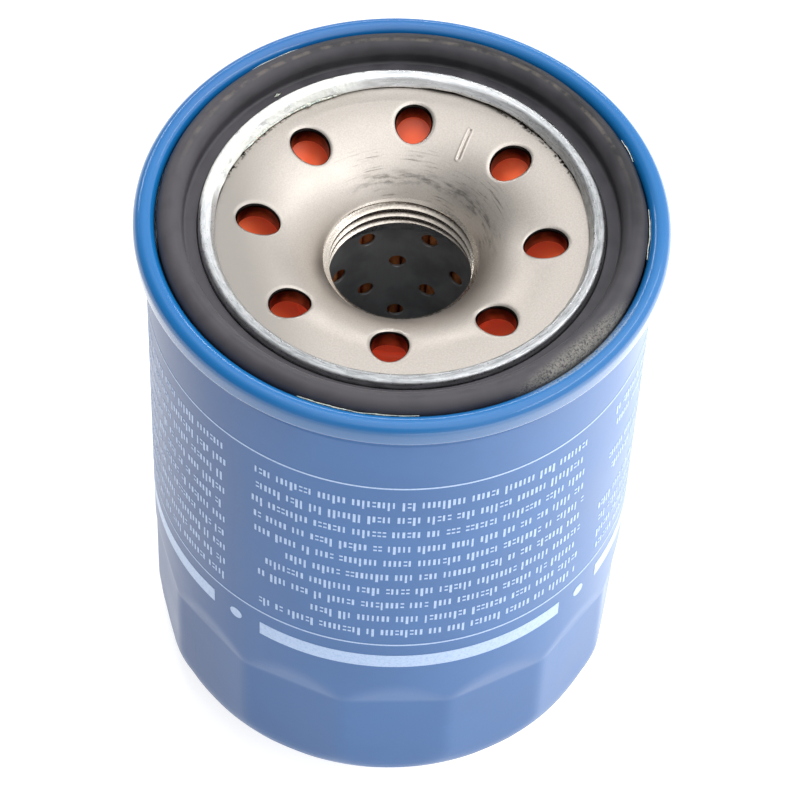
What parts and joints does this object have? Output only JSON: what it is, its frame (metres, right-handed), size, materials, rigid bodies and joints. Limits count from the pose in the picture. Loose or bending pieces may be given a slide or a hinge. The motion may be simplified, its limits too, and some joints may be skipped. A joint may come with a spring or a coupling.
{
  "type": "spin-on oil filter",
  "caption": "Spin-on canister oil filter with a rolled seam, threaded centre hole, ring of oil inlets, sealing gasket and wrench flats, with its full inner element.",
  "frame": {"origin": "centre of the closed end's resting plane", "axes": "+Z along the filter's axis, from the closed end to the threaded end"},
  "size_m": [0.068, 0.068, 0.087],
  "materials": {
    "can_paint": "blue litho lacquer, semi-gloss, with a pale printed mark",
    "lid_steel": "zinc-bright steel, with glossy blue paint over the rolled seam",
    "plate_steel": "satin pressed steel with drawing marks",
    "gasket_rubber": "black moulded nitrile, slightly waxy",
    "sealant": "dull grey-green seam compound",
    "valve_silicone": "orange-red silicone, satin",
    "tinplate": "bright tinplate",
    "potting": "cured red-brown plastisol adhesive",
    "media_paper": "resin-treated corrugated orange-brown filter paper",
    "tube_steel": "dark oiled steel",
    "valve_rubber": "black nitrile",
    "spring_steel": "dark drawn spring wire"
  },
  "bodies": {
    "housing": {"can_shell": "can_paint", "seaming_lid": "lid_steel", "seam_compound": "sealant", "base_plate": "plate_steel", "gasket": "gasket_rubber", "support_spring": "spring_steel"},
    "anti_drain_flap": {"anti_drain_valve": "valve_silicone"},
    "element": {"upper_end_cap": "tinplate", "upper_potting": "potting", "filter_media": "media_paper", "media_clip": "tinplate", "centre_tube": "tube_steel", "lower_potting": "potting", "lower_end_cap": "tinplate", "relief_valve_cage": "tinplate", "relief_valve_seat": "tinplate", "relief_valve_spring": "spring_steel", "spring_seat": "tinplate"},
    "relief_valve": {"relief_valve_disc": "tinplate", "relief_valve_seal": "valve_rubber"}
  },
  "joints": [
    {"name": "anti_drain_flap_bend", "type": "slide", "parent": "housing", "child": "anti_drain_flap", "axis": [0, 0, -1], "range_m": [0, 0.0025], "stiffness_N_per_m": 150, "springref_m": -0.001, "deforming": ["anti_drain_valve"]},
    {"name": "element_float", "type": "slide", "parent": "housing", "child": "element", "axis": [0, 0, -1], "range_m": [0, 0.0015], "stiffness_N_per_m": 2000, "springref_m": -0.01, "deforming": ["support_spring"]},
    {"name": "relief_valve_lift", "type": "slide", "parent": "element", "child": "relief_valve", "axis": [0, 0, 1], "range_m": [0, 0.003], "stiffness_N_per_m": 200, "springref_m": -0.004, "deforming": ["relief_valve_spring"]}
  ]
}
